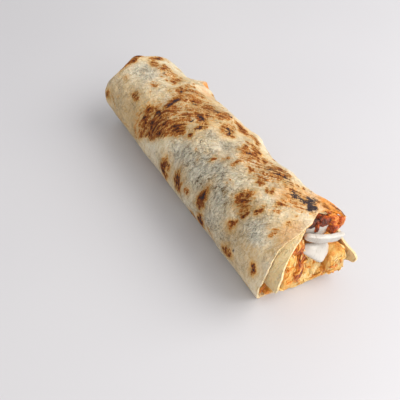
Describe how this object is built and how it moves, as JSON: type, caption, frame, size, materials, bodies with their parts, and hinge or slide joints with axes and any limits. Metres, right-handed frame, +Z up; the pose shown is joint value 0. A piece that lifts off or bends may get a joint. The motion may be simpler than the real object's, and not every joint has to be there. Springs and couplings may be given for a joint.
{
  "type": "doner kebab wrap",
  "caption": "Flatbread rolled round sliced chicken and onion, folded shut at one end and open at the other, lying on its flattened base.",
  "frame": {"origin": "on the surface it rests on, under the middle of the whole wrap", "axes": "X along the roll from the folded end to the open mouth, Y towards the side of the loose edge, Z up"},
  "size_m": [0.2132, 0.0672, 0.0599],
  "materials": {
    "flatbread": "matte, toasted in patches",
    "chicken": "moist, saucy",
    "browned_chicken": "browned, moist",
    "onion": "wet, glossy"
  },
  "bodies": {
    "root": {"flatbread": "flatbread", "chicken_filling": "chicken", "browned_chicken": "browned_chicken", "onion_slice_lower": "onion", "onion_slice_upper": "onion", "onion_petal": "onion"}
  },
  "joints": []
}
